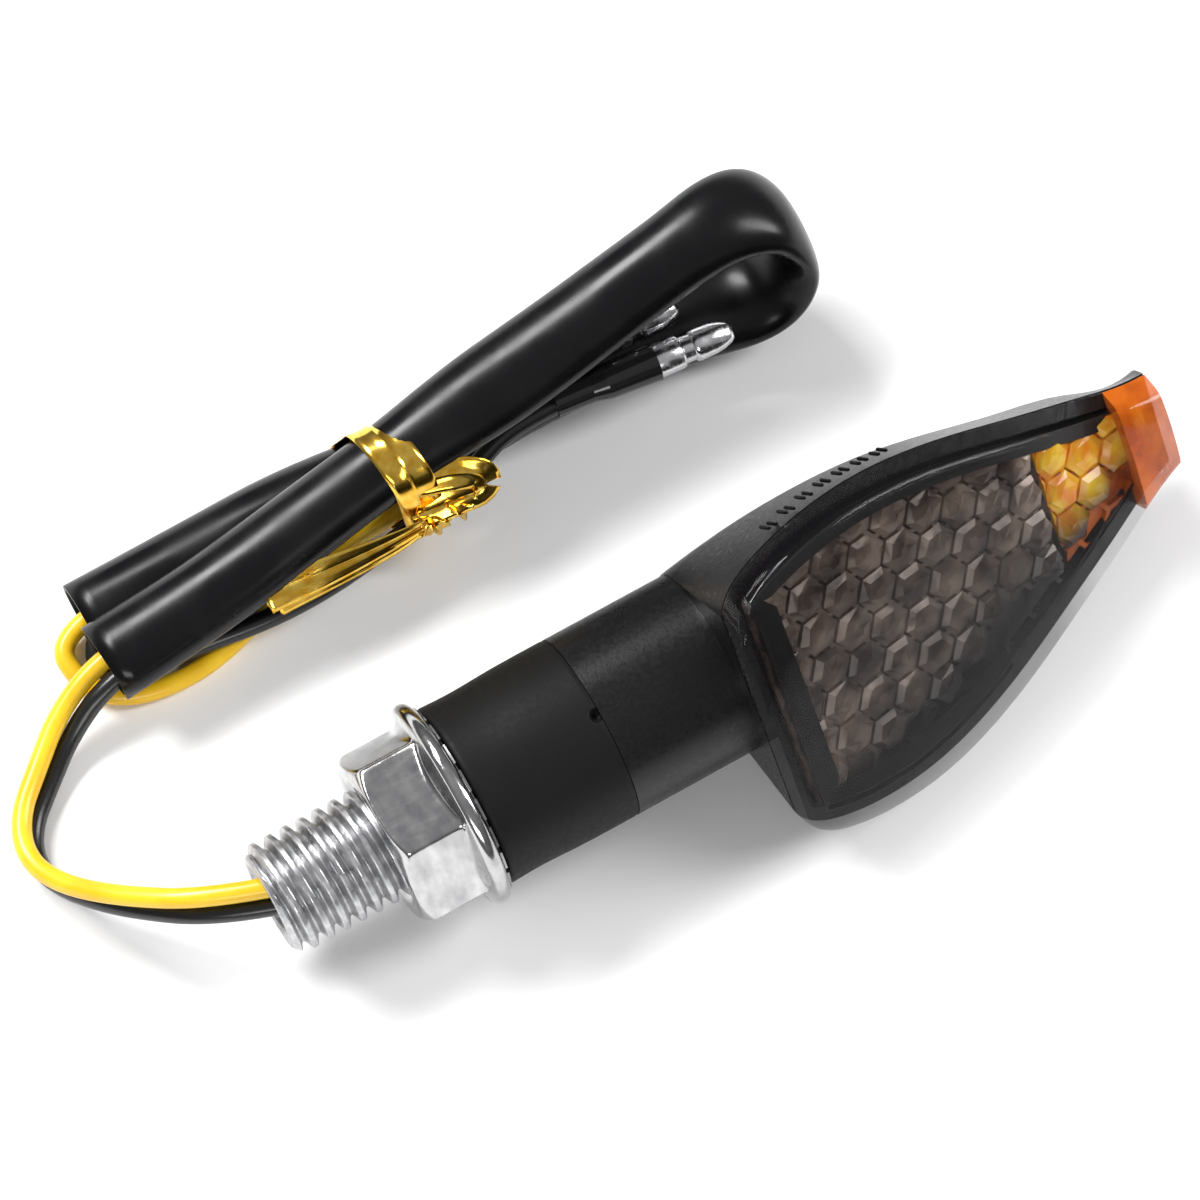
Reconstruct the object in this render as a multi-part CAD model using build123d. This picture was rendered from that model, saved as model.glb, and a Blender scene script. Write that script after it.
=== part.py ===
from build123d import *
import os
from math import acos, atan2, cos, hypot, pi, sin, tan

# Motorcycle turn signal on a hollow M10 stud, with its leads hanked and tied beside it.
# Frame: origin at the bracket seat (end face of the rubber stem), +X along the stem to the tip,
# +Z up from the surface that the lamp lies on. Millimetres.

# ---------------------------------------------------------------- driving dimensions
ROLL = 52.8              # turn of the lens front away from +Z about the stem, degrees

STUD_R = 5.0             # M10 x 1.5 thread, crest radius
STUD_BORE_R = 3.15       # wire passage
STUD_END = -18.2         # free end
STUD_CHAMFER = 0.9
RELIEF_R = 4.1           # thread relief in front of the nut
RELIEF_FROM = -8.75
RELIEF_TO = -7.9
STUD_HEAD_R = 6.6        # head moulded into the rubber
STUD_HEAD_FROM = 1.0
STUD_HEAD_TO = 2.8

NUT_AF = 14.2            # across flats
NUT_FROM = -7.85
HEX_TO = -2.9
CONE_TO = -2.4
FLANGE_TO = -0.8
FLANGE_R = 9.3
NUT_BORE_R = 5.05
WASHER_R = 8.5
WASHER_TO = -0.1
WASHER_TEETH = 20

STEM_R = 8.25            # rubber stem and neck
STEM_TO = 12.2           # end of the rubber, start of the hard neck
BUSH_R = 5.2             # barbed bush between the neck and the rubber
BUSH_BORE_R = 3.2
BUSH_FROM = 7.8
BUSH_TO = 18.0
BARB_R = 6.4
BARB_LENGTH = 1.8
MOULD_GAP = 0.05         # between the rubber and the hard parts moulded into it

WALL = 1.8               # plastic wall
HEAD_FROM = 23.7         # base end of the head
HEAD_TO = 67.8           # tip
SEAM_GAP = 0.3           # height of the weld bead
TIP_SPLIT = 63.2         # smoked lens to its left, amber tip to its right
AMBER_INNER_FROM = 54.8  # the amber moulding's honeycomb tongue starts here

LENS_CROWN = 0.45
LENS_CORNER_R = 1.3
LENS_DRAFT = 0.75

OPTIC_THICK = 1.2
OPTIC_DEPTH = 2.6        # below the lens front, at the base end
BOARD_DEPTH = 8.2
BOARD_THICK = 1.2
INNER_TILT = 13.2        # slope of the board and the optic towards the tip, degrees
HEX_PITCH = 3.7          # honeycomb, across flats
HEX_RIB = 0.45
HEX_DEEP = 0.5

WIRE_R = 0.875
SLEEVE_R = 3.25
SLEEVE_WALL = 0.45
BULLET_R = 1.5
BOOT_R = 1.7
BOOT_NECK_R = 1.25

TIE_WIDTH = 3.7
TIE_THICK = 0.15

# Stations along the head: x, half height of the rim, radius of the round back.
HEAD_STATIONS = [
    (23.7, 10.6, 8.35), (24.9, 12.4, 8.55), (27.4, 13.8, 8.9), (32.0, 14.9, 9.35), (37.0, 15.1, 9.5),
    (43.0, 14.1, 9.2), (49.0, 12.1, 8.2), (55.0, 9.6, 6.9), (61.0, 7.1, 5.6), (67.8, 4.7, 4.5),
]

# Cord routes: corners of the straight runs, joined by arcs.
SLEEVE_ROUTE = [
    (-19.8, 26.2, -3.1), (-9.5, 26.9, -2.7), (1.5, 28.0, -0.3), (13.5, 29.0, 2.4), (25.5, 30.1, 3.6),
    (36.0, 31.2, 5.6), (45.8, 31.9, 7.8), (49.8, 29.6, 1.2), (46.6, 28.4, -5.9), (37.0, 30.2, -6.3),
    (25.5, 31.2, -6.3), (13.0, 30.4, -6.1), (1.0, 32.0, -6.1), (-9.0, 31.7, -6.25), (-19.3, 31.6, -6.3),
]
YELLOW_OUT = [
    (-16.5, 0.6, 0.8), (-22.4, 2.6, 0.6), (-28.2, 7.2, -2.2), (-31.9, 11.6, -5.2), (-33.3, 15.4, -6.7),
    (-32.1, 19.1, -6.9), (-28.6, 22.3, -6.9), (-25.0, 25.3, -6.0),
]
BLACK_OUT = [
    (-16.5, -0.6, -0.8), (-22.2, 1.4, -1.3), (-28.0, 6.6, -4.4), (-31.4, 11.2, -7.2), (-32.8, 14.8, -8.5),
    (-31.6, 18.2, -8.65), (-28.3, 21.0, -8.5), (-24.9, 23.6, -7.5),
]
YELLOW_BACK = [
    (-22.2, 32.2, -7.7), (-21.9, 27.0, -8.65), (-18.4, 24.0, -8.65), (-12.0, 23.4, -8.65),
    (-5.5, 25.4, -8.65), (0.0, 27.0, -8.65), (5.2, 27.2, -7.3), (9.3, 26.5, -4.9), (13.6, 28.4, -2.1),
    (18.6, 31.05, -1.4), (26.6, 30.57, -1.4),
]
BLACK_BACK = [
    (-18.5, 30.7, -7.4), (-20.0, 28.9, -8.2), (-19.3, 26.7, -8.6), (-16.2, 25.6, -8.3), (-12.2, 25.2, -7.2),
    (-6.0, 24.0, -6.5), (-0.5, 23.8, -6.3), (4.8, 24.2, -5.7), (9.4, 24.5, -4.4), (15.2, 26.0, -3.5),
    (21.2, 28.06, -2.8), (29.6, 27.17, -2.8),
]
LEAD_APART = 1.0        # each lead's offset across the sleeve
LEAD_SAG = 1.1           # and below its centre
YELLOW_BULLET = ((30.3, 30.35, -1.4), (0.998, -0.06, 0.0))   # crimp end and direction
BLACK_BULLET = ((33.6, 26.75, -2.8), (0.9945, -0.105, 0.0))
BULLET_LENGTH = 7.8
TIE_X = 7.4

os.makedirs("parts", exist_ok=True)


def save(name, shape):
    export_step(shape, "parts/" + name + ".step")


# ---------------------------------------------------------------- head geometry
# Head coordinates: x along the stem, y across the lens (its height), z towards the lens front.
HEAD_TURN = Rot(ROLL, 0, 0)


def front_height(x):
    """Height of the lens front above the stem axis."""
    run = x - 24.9
    return 13.0 - 0.17 * run - 0.0018 * run * run


def rim_height(x):
    """Height of the seam between the lens and the housing."""
    return front_height(x) - 3.3 + 0.02 * (x - 24.9)


def head_section(x, half, back, inset):
    """Cross-section at x: round back, straight flanks to the rim, drafted lens flanks, crowned front."""
    h = half - inset
    r = back - inset
    rim = rim_height(x)
    front = max(front_height(x) - inset, rim + 1.0)
    away = hypot(h, rim)
    turn = atan2(rim, h) - acos(min(r / away, 0.999))
    tangent = (r * cos(turn), r * sin(turn))
    shoulder = h - LENS_DRAFT
    outline = Line((h, rim), (shoulder, front))
    outline += ThreePointArc((shoulder, front), (0, front + LENS_CROWN), (-shoulder, front))
    outline += Line((-shoulder, front), (-h, rim))
    outline += Line((-h, rim), (-tangent[0], tangent[1]))
    outline += ThreePointArc((-tangent[0], tangent[1]), (0, -r), tangent)
    outline += Line(tangent, (h, rim))
    face = make_face(outline)
    corners = [v for v in face.vertices() if v.Y > rim + 0.5]
    face = fillet(corners, max(LENS_CORNER_R - inset * 0.5, 0.4))
    return Plane(origin=(x, 0, 0), x_dir=(0, 1, 0), z_dir=(1, 0, 0)) * face


def head_solid(inset):
    return loft([head_section(x, half, back, inset) for x, half, back in HEAD_STATIONS])


def box_between(x0, x1, reach=40.0):
    return Pos((x0 + x1) / 2, 0, 0) * Box(x1 - x0, 2 * reach, 2 * reach)


def under_rim(shift):
    """Everything below the seam surface, raised by shift."""
    xs = [8.0, 20.0, 32.0, 44.0, 56.0, 72.0]
    seam = Spline([(x, rim_height(x) + shift) for x in xs])
    low = -30.0
    sides = Polyline((xs[-1], rim_height(xs[-1]) + shift), (xs[-1], low), (xs[0], low),
                     (xs[0], rim_height(xs[0]) + shift))
    return extrude(Plane.XZ * make_face(seam + sides), 30.0, both=True)


def inner_slab(depth, thick):
    """A slab that slopes with the lens front, its top face depth below it at the base end."""
    top = Pos(HEAD_FROM, 0, front_height(HEAD_FROM) - depth) * Rot(0, INNER_TILT, 0)
    return top * Pos(30, 0, -thick / 2) * Box(90, 60, thick)


def on_slab(depth, x, y, lift=0.0):
    """Place at (x, y) on the top face of an inner slab."""
    along = x - HEAD_FROM
    return (Pos(HEAD_FROM, 0, front_height(HEAD_FROM) - depth) * Rot(0, INNER_TILT, 0)
            * Pos(along, y, lift))


# ---------------------------------------------------------------- cords
def corner_radii(points):
    """Arc radii that use 45 percent of the shorter run at each corner."""
    radii = []
    for a, b, c in zip(points, points[1:], points[2:]):
        before = Vector(*b) - Vector(*a)
        after = Vector(*c) - Vector(*b)
        half_turn = before.get_angle(after) * pi / 360
        radii.append(0.45 * min(before.length, after.length) / tan(half_turn))
    return radii


def cord_path(name, points):
    radii = corner_radii(points)
    print(name, "arc radii:", [round(r, 1) for r in radii])
    return FilletPolyline(*points, radius=radii)


def tube(path, radius):
    start = Plane(origin=path @ 0, z_dir=path % 0)
    return sweep(start * Circle(radius), path=path)


def x_cylinder(radius, x0, x1):
    return Pos((x0 + x1) / 2, 0, 0) * Rot(0, 90, 0) * Cylinder(radius, x1 - x0)


# ---------------------------------------------------------------- stud, nut, washer
def threaded_stud():
    body = x_cylinder(STUD_R, STUD_END, STUD_HEAD_FROM + 0.2)
    body = chamfer(body.faces().sort_by(Axis.X)[0].edges(), STUD_CHAMFER)
    body += x_cylinder(STUD_HEAD_R, STUD_HEAD_FROM, STUD_HEAD_TO)
    body -= x_cylinder(STUD_R + 1, RELIEF_FROM, RELIEF_TO) - x_cylinder(RELIEF_R, RELIEF_FROM, RELIEF_TO)
    body -= x_cylinder(STUD_BORE_R, STUD_END - 1, STUD_HEAD_TO + 1)
    return body


def flange_nut():
    hexagon = Plane.YZ * RegularPolygon(NUT_AF / 2, 6, major_radius=False)
    body = Pos(NUT_FROM, 0, 0) * extrude(hexagon, HEX_TO - NUT_FROM)
    bevel_top = 7.3
    bevel = Pos(NUT_FROM, 0, 0) * Rot(0, 90, 0) * Pos(0, 0, 3.0) * Cone(bevel_top, bevel_top + 3.9, 6.0)
    body = body & bevel
    skirt = make_face(Polyline((HEX_TO, 0), (HEX_TO, 7.0), (CONE_TO, 8.4), (CONE_TO, 0), close=True))
    body += revolve(skirt, axis=Axis.X)
    rim = x_cylinder(FLANGE_R, CONE_TO, FLANGE_TO)
    body += fillet(rim.edges().filter_by(GeomType.CIRCLE), 0.6)
    body -= x_cylinder(NUT_BORE_R, NUT_FROM - 1, FLANGE_TO + 1)
    return body


def lock_washer():
    ring = x_cylinder(WASHER_R, FLANGE_TO + 0.02, WASHER_TO) - x_cylinder(NUT_BORE_R, -3, 2)
    notch = Pos(-0.45, 0, WASHER_R) * Box(3, 0.7, 1.4)
    for tooth in range(WASHER_TEETH):
        ring -= Rot(360 * tooth / WASHER_TEETH, 0, 0) * notch
    return ring


# ---------------------------------------------------------------- stem
def stem_bush():
    body = x_cylinder(BUSH_R, BUSH_FROM, BUSH_TO)
    body += x_cylinder(BARB_R, BUSH_FROM, BUSH_FROM + BARB_LENGTH)
    return body - x_cylinder(BUSH_BORE_R, BUSH_FROM - 1, BUSH_TO + 1)


def rubber_stem():
    gap = MOULD_GAP
    body = x_cylinder(STEM_R, 0, STEM_TO)
    body = fillet(body.faces().sort_by(Axis.X)[0].edges(), 0.4)
    body -= x_cylinder(STUD_BORE_R, -1, STEM_TO + 1)
    body -= x_cylinder(STUD_R + gap, -1, STUD_HEAD_FROM)
    body -= x_cylinder(STUD_HEAD_R + gap, STUD_HEAD_FROM - gap, STUD_HEAD_TO + gap)
    body -= x_cylinder(BUSH_R + gap, BUSH_FROM, STEM_TO + 1)
    body -= x_cylinder(BARB_R + gap, BUSH_FROM - gap, BUSH_FROM + BARB_LENGTH + gap)
    return body


# ---------------------------------------------------------------- head
outer = head_solid(0.0)
inner = head_solid(WALL) & box_between(HEAD_FROM + WALL, HEAD_TO - WALL)
shell = outer - inner
below = under_rim(-SEAM_GAP / 2)
above = under_rim(SEAM_GAP / 2)
bead_ring = head_solid(0.1) - (head_solid(1.5) & box_between(HEAD_FROM + 1.5, HEAD_TO - 1.5))
bead_ring = bead_ring & box_between(HEAD_FROM + 0.1, HEAD_TO - 0.1)


def rear_housing():
    neck = x_cylinder(STEM_R, STEM_TO + 0.02, HEAD_FROM + WALL)
    body = (shell & below) + (neck & under_rim(-SEAM_GAP / 2))
    body -= x_cylinder(BUSH_R, STEM_TO, BUSH_TO + 0.5)
    body -= x_cylinder(BUSH_R - 0.6, STEM_TO, HEAD_FROM + WALL + 0.5)
    return body


def lens_shell():
    return shell - above


def smoked_lens():
    return lens_shell() & box_between(10, TIP_SPLIT)


def honeycomb(x0, x1):
    """Plate of hexagonal pockets that fills the lens between x0 and x1."""
    room = head_solid(WALL + 0.25) & box_between(x0, x1)
    plate = inner_slab(OPTIC_DEPTH, OPTIC_THICK) & room
    cell = RegularPolygon(HEX_PITCH / 2 - HEX_RIB / 2, 6, major_radius=False)
    grid = Sketch() + [spot * cell for spot in HexLocations(HEX_PITCH / 2, 12, 9)]
    pockets = extrude(grid, HEX_DEEP, both=True)
    return plate - on_slab(OPTIC_DEPTH, 45.0, 0) * pockets


def amber_tip_lens():
    cap = lens_shell() & box_between(TIP_SPLIT + 0.05, HEAD_TO + 5)
    tongue = honeycomb(AMBER_INNER_FROM + 0.05, HEAD_TO - WALL - 0.1)
    end = HEAD_TO - WALL
    low = Pos(end - 0.7, 0, 0.7) * Box(1.0, 20, 2.4)
    block = head_solid(WALL + 0.1) & low
    web = (head_solid(WALL - 0.3) & box_between(end - 0.9, end + 0.3)) - under_rim(SEAM_GAP / 2 + 0.05)
    return cap + tongue + block + web


def led_board():
    room = head_solid(WALL + 1.6) & box_between(HEAD_FROM + 3.4, 59.0)
    return inner_slab(BOARD_DEPTH, BOARD_THICK) & room


LED_SPOTS = [(32.0, -6.6), (32.0, 0.0), (32.0, 6.6), (40.5, -5.6), (40.5, 5.6), (43.5, 0.0),
             (50.0, -2.6), (50.0, 2.6)]
RESISTOR_SPOTS = [(36.4, -6.0), (36.4, 6.0), (46.0, -4.6), (46.0, 4.6)]
SOLDER_SPOTS = [(28.8, -2.3), (28.8, 2.3)]
DIODE_SPOT = (37.2, 0.0)
CLIP_SPOTS = [(34.5, 1), (34.5, -1), (48.0, 1), (48.0, -1)]


def leds():
    return Part() + [on_slab(BOARD_DEPTH, x, y, 0.97) * Box(3.5, 2.8, 1.9) for x, y in LED_SPOTS]


def resistors():
    return Part() + [on_slab(BOARD_DEPTH, x, y, 0.32) * Box(3.2, 1.6, 0.6) for x, y in RESISTOR_SPOTS]


def reverse_diode():
    return on_slab(BOARD_DEPTH, DIODE_SPOT[0], DIODE_SPOT[1], 1.12) * Box(4.3, 2.6, 2.2)


def solder_joints():
    drops = []
    for x, y in SOLDER_SPOTS:
        drops.append(on_slab(BOARD_DEPTH + BOARD_THICK, x, y, -0.56) * Cone(0.7, 1.3, 1.0))
    return Part() + drops


def board_clips():
    """Four hooks that grip the board's long edges against the housing wall."""
    clips = []
    room = head_solid(WALL + 0.03)
    free = head_solid(WALL + 1.55)
    for x, side in CLIP_SPOTS:
        hook = on_slab(BOARD_DEPTH + BOARD_THICK, x, side * 10.0, -1.02) * Box(3.0, 12.0, 2.0)
        ledge = (hook & room) - (free & box_between(20, 70))
        clips.append(ledge)
    return Part() + clips


# ---------------------------------------------------------------- leads
def inner_lead(side):
    """From the stud's bore, through the bush, up to the back of the board."""
    route = [(-15.4, 1.0 * side, 0), (4.0, 1.0 * side, 0), (19.0, 1.2 * side, 0), (26.4, 2.1 * side, -0.6),
             (28.6, 2.3 * side, 0.9)]
    return tube(cord_path("inner lead", route), WIRE_R)


def stud_grommet():
    plug = x_cylinder(STUD_BORE_R - 0.02, -14.5, -10.5)
    holes = [Pos(-12.5, side, 0) * Rot(0, 90, 0) * Cylinder(WIRE_R + 0.03, 8) for side in (-1.0, 1.0)]
    return plug - holes[0] - holes[1]


def wire(name, way_out, way_back, shift):
    inside = [(x, y + shift, z - LEAD_SAG) for x, y, z in SLEEVE_ROUTE[:-1]]
    return tube(cord_path(name, way_out + inside + way_back), WIRE_R)


def wire_sleeve():
    path = cord_path("wire_sleeve", SLEEVE_ROUTE)
    return tube(path, SLEEVE_R) - tube(path, SLEEVE_R - SLEEVE_WALL)


def bullet(at, direction):
    """Bullet terminal: barrel, groove, round nose."""
    nose = BULLET_R
    groove_r = BULLET_R - 0.3
    mid = BULLET_LENGTH * 0.47
    profile = Polyline((0, 0), (0, BULLET_R), (mid - 0.5, BULLET_R), (mid, groove_r), (mid + 0.5, BULLET_R),
                       (BULLET_LENGTH - nose, BULLET_R))
    profile += RadiusArc((BULLET_LENGTH - nose, BULLET_R), (BULLET_LENGTH, 0), nose)
    profile += Line((BULLET_LENGTH, 0), (0, 0))
    solid = revolve(make_face(profile), axis=Axis.X)
    return along(at, direction) * solid


def boot(at, direction):
    """Insulating boot over the crimp: wide over the crimp, narrow over the wire."""
    length = 9.0
    bore = WIRE_R + 0.08
    profile = Polyline((-length, bore), (-length, BOOT_NECK_R), (-5.6, BOOT_NECK_R), (-4.2, BOOT_R - 0.15),
                       (0.5, BOOT_R), (0.5, BULLET_R), (-0.02, BULLET_R), (-0.02, bore), close=True)
    return along(at, direction) * revolve(make_face(profile), axis=Axis.X)


def along(at, direction):
    return Plane(origin=at, x_dir=direction, z_dir=(0, 0, 1)).location


# ---------------------------------------------------------------- tie
def tie_band():
    """Foil ribbon round both strands and the returning wires."""
    pull = [(28.4, 1.0, 3.5), (28.9, 1.95, 3.5), (30.6, -6.1, 3.3), (31.15, -6.1, 3.3), (24.4, -4.9, 1.5)]
    rounds = [Pos(y, z, 0) * Circle(r) for y, z, r in pull]
    inside = make_hull([edge for c in rounds for edge in c.edges()])
    ring = offset(inside, TIE_THICK) - inside
    return Pos(TIE_X, 0, 0) * extrude(Plane.YZ * ring, TIE_WIDTH)


def tie_tails():
    """Twisted knot with the two flat tails laid back along the front strand."""
    knot = Pos(13.2, 23.2, -1.2) * Rot(0, 80, -15) * Cylinder(1.0, 3.6)
    tails = []
    for drop in (0.0, 0.45):
        line = Polyline((13.4, 22.5 - drop, -1.2), (6.0, 22.6 - drop, -1.0), (-5.9, 23.2 - drop, -1.4))
        start = Plane(origin=line @ 0, z_dir=line % 0, x_dir=(0, 0, 1))
        tails.append(sweep(start * Rectangle(TIE_WIDTH, 0.2), path=line, transition=Transition.RIGHT))
    return knot + tails[0] + tails[1]


# ---------------------------------------------------------------- write every sub-part
save("threaded_stud", threaded_stud())
save("flange_nut", flange_nut())
save("lock_washer", lock_washer())
save("stem_bush", stem_bush())
save("rubber_stem", rubber_stem())
save("stud_grommet", HEAD_TURN * stud_grommet())

save("rear_housing", HEAD_TURN * rear_housing())
save("smoked_lens", HEAD_TURN * smoked_lens())
save("amber_tip_lens", HEAD_TURN * amber_tip_lens())
save("lens_bead", HEAD_TURN * ((bead_ring & above) - below))
save("honeycomb_optic", HEAD_TURN * honeycomb(HEAD_FROM + WALL + 0.2, AMBER_INNER_FROM))
save("led_board", HEAD_TURN * led_board())
save("leds", HEAD_TURN * leds())
save("resistors", HEAD_TURN * resistors())
save("reverse_diode", HEAD_TURN * reverse_diode())
save("solder_joints", HEAD_TURN * solder_joints())
save("board_clips", HEAD_TURN * board_clips())
save("yellow_inner_lead", HEAD_TURN * inner_lead(1))
save("black_inner_lead", HEAD_TURN * inner_lead(-1))

save("yellow_wire", wire("yellow_wire", YELLOW_OUT, YELLOW_BACK, LEAD_APART))
save("black_wire", wire("black_wire", BLACK_OUT, BLACK_BACK, -LEAD_APART))
save("wire_sleeve", wire_sleeve())
save("yellow_bullet", bullet(*YELLOW_BULLET))
save("black_bullet", bullet(*BLACK_BULLET))
save("yellow_bullet_boot", boot(*YELLOW_BULLET))
save("black_bullet_boot", boot(*BLACK_BULLET))
save("tie_band", tie_band())
save("tie_tails", tie_tails())
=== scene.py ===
import math
import random

import bmesh
import bpy
from mathutils import Matrix, Vector, noise


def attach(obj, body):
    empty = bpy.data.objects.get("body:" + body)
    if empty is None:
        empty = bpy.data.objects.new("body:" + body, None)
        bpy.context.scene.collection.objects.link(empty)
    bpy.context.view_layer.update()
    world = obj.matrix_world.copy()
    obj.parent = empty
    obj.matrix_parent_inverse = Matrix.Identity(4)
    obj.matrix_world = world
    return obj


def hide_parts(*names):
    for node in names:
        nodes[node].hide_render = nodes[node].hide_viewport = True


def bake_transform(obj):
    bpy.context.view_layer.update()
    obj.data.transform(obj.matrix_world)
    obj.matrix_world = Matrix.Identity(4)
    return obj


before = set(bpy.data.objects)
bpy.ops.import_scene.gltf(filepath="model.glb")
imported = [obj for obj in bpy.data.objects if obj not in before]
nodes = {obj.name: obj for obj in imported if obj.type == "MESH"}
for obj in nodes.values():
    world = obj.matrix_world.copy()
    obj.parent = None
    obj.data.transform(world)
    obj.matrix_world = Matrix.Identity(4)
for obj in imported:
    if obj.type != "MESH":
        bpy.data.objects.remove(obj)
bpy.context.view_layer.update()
random.seed(7)
collection = bpy.context.scene.collection

# ---------------------------------------------------------------- dimensions, millimetres
FLOOR_Z = -9.55
ROLL = math.radians(52.8)
STUD_R = 5.0
ROOT_R = 4.12
PITCH = 1.5
BORE_R = 3.15
STUD_END = -18.2
NUT_FROM = -7.85
NUT_AF = 14.2
FLANGE_FROM = -2.4
FLANGE_TO = -0.8
FLANGE_R = 9.3
RIM_FROM = -1.85
RIM_TO = -0.3
STEM_R = 8.25
STEM_TO = 12.2
WIRE_R = 0.875
TIE_X = 7.4
TIE_WIDTH = 3.7

SLEEVE_ROUTE = [
    (-19.8, 26.2, -3.1), (-9.5, 26.9, -2.7), (1.5, 28.0, -0.3), (13.5, 29.0, 2.4), (25.5, 30.1, 3.6),
    (36.0, 31.2, 5.6), (45.8, 31.9, 7.8), (49.8, 29.6, 1.2), (46.6, 28.4, -5.9), (37.0, 30.2, -6.3),
    (25.5, 31.2, -6.3), (13.0, 30.4, -6.1), (1.0, 32.0, -6.1), (-9.0, 31.7, -6.25), (-19.3, 31.6, -6.3),
]
YELLOW_OUT = [
    (-16.5, 0.6, 0.8), (-22.4, 2.6, 0.6), (-28.2, 7.2, -2.2), (-31.9, 11.6, -5.2), (-33.3, 15.4, -6.7),
    (-32.1, 19.1, -6.9), (-28.6, 22.3, -6.9), (-25.0, 25.3, -6.0),
]
BLACK_OUT = [
    (-16.5, -0.6, -0.8), (-22.2, 1.4, -1.3), (-28.0, 6.6, -4.4), (-31.4, 11.2, -7.2), (-32.8, 14.8, -8.5),
    (-31.6, 18.2, -8.65), (-28.3, 21.0, -8.5), (-24.9, 23.6, -7.5),
]
YELLOW_BACK = [
    (-22.2, 32.2, -7.7), (-21.9, 27.0, -8.65), (-18.4, 24.0, -8.65), (-12.0, 23.4, -8.65),
    (-5.5, 25.4, -8.65), (0.0, 27.0, -8.65), (5.2, 27.2, -7.3), (9.3, 26.5, -4.9), (13.6, 28.4, -2.1),
    (18.6, 31.05, -1.4), (26.6, 30.57, -1.4),
]
BLACK_BACK = [
    (-18.5, 30.7, -7.4), (-20.0, 28.9, -8.2), (-19.3, 26.7, -8.6), (-16.2, 25.6, -8.3), (-12.2, 25.2, -7.2),
    (-6.0, 24.0, -6.5), (-0.5, 23.8, -6.3), (4.8, 24.2, -5.7), (9.4, 24.5, -4.4), (15.2, 26.0, -3.5),
    (21.2, 28.06, -2.8), (29.6, 27.17, -2.8),
]
LEAD_APART = 1.0
LEAD_SAG = 1.1
YELLOW_BULLET = ((30.3, 30.35, -1.4), (0.998, -0.06, 0.0))
BLACK_BULLET = ((33.6, 26.75, -2.8), (0.9945, -0.105, 0.0))


TURN = Matrix.Rotation(ROLL, 3, "X")
TILT = math.radians(13.2)


def metres(p):
    return tuple(v / 1000 for v in p)


def head_point(x, y, z):
    """A point in head coordinates (y across the lens, z towards its front) in metres in the row frame."""
    return TURN @ Vector((x, y, z)) / 1000


# ---------------------------------------------------------------- plain materials
def paint(name, color, rough, metallic=0.0, **sockets):
    """A Principled material; sockets are constants set on the shader by name."""
    mat = bpy.data.materials.new(name)
    mat.use_nodes = True
    shader = mat.node_tree.nodes["Principled BSDF"]
    shader.inputs["Base Color"].default_value = (*color, 1)
    shader.inputs["Roughness"].default_value = rough
    shader.inputs["Metallic"].default_value = metallic
    for key, value in sockets.items():
        shader.inputs[key.replace("_", " ")].default_value = value
    return mat


def dress(obj, mat):
    obj.data.materials.clear()
    obj.data.materials.append(mat)
    return obj


# ---------------------------------------------------------------- camera, light, floor
def make_camera():
    right = Vector((0.866, -0.5, 0.0))
    back = Vector((-0.171, -0.296, 0.940)).normalized()
    up = back.cross(right).normalized()
    data = bpy.data.cameras.new("camera")
    data.sensor_width = 36
    data.lens = 18 / math.tan(math.atan(49.587 / 420))
    cam = bpy.data.objects.new("camera", data)
    place = (right * 11.446 + up * 16.339 + back * 420) / 1000
    cam.matrix_world = Matrix.Translation(place) @ Matrix((right, up, back)).transposed().to_4x4()
    data.clip_start = 0.01
    data.clip_end = 20
    collection.objects.link(cam)
    bpy.context.scene.camera = cam


def area_light(name, at, target, size, power, size_y=None):
    data = bpy.data.lights.new(name, "AREA")
    data.shape = "RECTANGLE"
    data.size = size
    data.size_y = size_y or size
    data.energy = power
    lamp = bpy.data.objects.new(name, data)
    lamp.location = at
    aim = Vector(target) - Vector(at)
    lamp.rotation_mode = "QUATERNION"
    lamp.rotation_quaternion = aim.to_track_quat("-Z", "Y")
    collection.objects.link(lamp)


def make_studio():
    world = bpy.data.worlds.new("studio")
    bpy.context.scene.world = world
    world.use_nodes = True
    tree = world.node_tree
    back = tree.nodes["Background"]
    coord = tree.nodes.new("ShaderNodeTexCoord")
    split = tree.nodes.new("ShaderNodeSeparateXYZ")
    ramp = tree.nodes.new("ShaderNodeValToRGB")
    ramp.color_ramp.elements[0].position = 0.15
    ramp.color_ramp.elements[0].color = (0.16, 0.16, 0.165, 1)
    ramp.color_ramp.elements[1].position = 0.95
    ramp.color_ramp.elements[1].color = (0.42, 0.42, 0.43, 1)
    tree.links.new(coord.outputs["Generated"], split.inputs[0])
    tree.links.new(split.outputs["Z"], ramp.inputs["Fac"])
    tree.links.new(ramp.outputs["Color"], back.inputs["Color"])
    back.inputs["Strength"].default_value = 1.0
    area_light("key", (-0.20, 0.50, 0.62), (0.02, 0.015, 0), 0.5, 9.5, 0.2)
    area_light("side", (0.60, -0.15, 0.50), (0.03, 0.0, 0), 0.2, 4.0, 0.5)
    area_light("front", (-0.35, -0.62, 0.40), (0.02, 0.0, 0), 0.5, 2.2, 0.2)
    bpy.ops.mesh.primitive_plane_add(size=6, location=(0.02, 0.02, FLOOR_Z / 1000))
    floor = bpy.context.object
    floor.name = "floor"
    floor.data.materials.append(paint("floor_paper", (0.9, 0.9, 0.9), 0.9))


make_camera()
make_studio()
bpy.context.scene.view_settings.view_transform = "Standard"


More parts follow.
